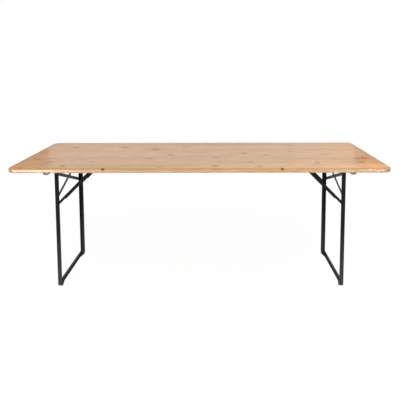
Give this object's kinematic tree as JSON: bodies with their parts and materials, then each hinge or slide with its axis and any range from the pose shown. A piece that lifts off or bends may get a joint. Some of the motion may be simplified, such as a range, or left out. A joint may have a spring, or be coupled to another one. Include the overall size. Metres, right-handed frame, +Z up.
{
  "type": "folding trestle table",
  "caption": "Long wooden trestle table: a glued softwood top with rounded corners on two folding U-shaped angle-steel leg frames with cross braces and diagonal struts.",
  "frame": {"origin": "on the floor, under the middle of the top", "axes": "+X along the table, +Y from the front edge to the back edge, +Z up"},
  "size_m": [2.2, 0.8, 0.78],
  "materials": {
    "pine_top": "satin lacquered softwood with knots",
    "pine_batten": "planed softwood",
    "black_steel": "satin black powder coat",
    "black_rivets": "black coated pivot heads, worn",
    "spring_steel": "blued spring steel"
  },
  "bodies": {
    "table_top": {"left_batten": "pine_batten", "left_catch": "black_steel", "left_front_hinge_bracket": "black_steel", "left_hinge_pins": "black_rivets", "left_keeper": "spring_steel", "left_rear_hinge_bracket": "black_steel", "right_batten": "pine_batten", "right_catch": "black_steel", "right_front_hinge_bracket": "black_steel", "right_hinge_pins": "black_rivets", "right_keeper": "spring_steel", "right_rear_hinge_bracket": "black_steel", "top_board_1": "pine_top", "top_board_2": "pine_top", "top_board_3": "pine_top", "top_board_4": "pine_top", "top_board_5": "pine_top", "top_board_6": "pine_top", "top_board_7": "pine_top"},
    "left_leg": {"left_brace_cranked_bar": "black_steel", "left_brace_flat_bar": "black_steel", "left_leg_frame": "black_steel", "left_strut_pivots": "black_rivets"},
    "left_strut": {"left_front_strut": "black_steel", "left_rear_strut": "black_steel", "left_strut_rod": "black_steel"},
    "right_leg": {"right_brace_cranked_bar": "black_steel", "right_brace_flat_bar": "black_steel", "right_leg_frame": "black_steel", "right_strut_pivots": "black_rivets"},
    "right_strut": {"right_front_strut": "black_steel", "right_rear_strut": "black_steel", "right_strut_rod": "black_steel"}
  },
  "joints": [
    {"name": "left_leg_fold", "type": "hinge", "parent": "table_top", "child": "left_leg", "pos_m": [-0.864, 0, 0.735], "axis": [0, -1, 0], "range_deg": [0, 90], "deforming": ["left_keeper"]},
    {"name": "left_strut_fold", "type": "hinge", "parent": "left_leg", "child": "left_strut", "pos_m": [-0.864, 0, 0.523], "axis": [0, 1, 0], "range_deg": [0, 135.2]},
    {"name": "right_leg_fold", "type": "hinge", "parent": "table_top", "child": "right_leg", "pos_m": [0.864, 0, 0.735], "axis": [0, 1, 0], "range_deg": [0, 90], "deforming": ["right_keeper"]},
    {"name": "right_strut_fold", "type": "hinge", "parent": "right_leg", "child": "right_strut", "pos_m": [0.864, 0, 0.523], "axis": [0, -1, 0], "range_deg": [0, 135.2]}
  ],
  "couplings": [
    {"joint": "left_strut_fold", "follows": "left_leg_fold", "ratio": 1.5015},
    {"joint": "right_strut_fold", "follows": "right_leg_fold", "ratio": 1.5015}
  ]
}
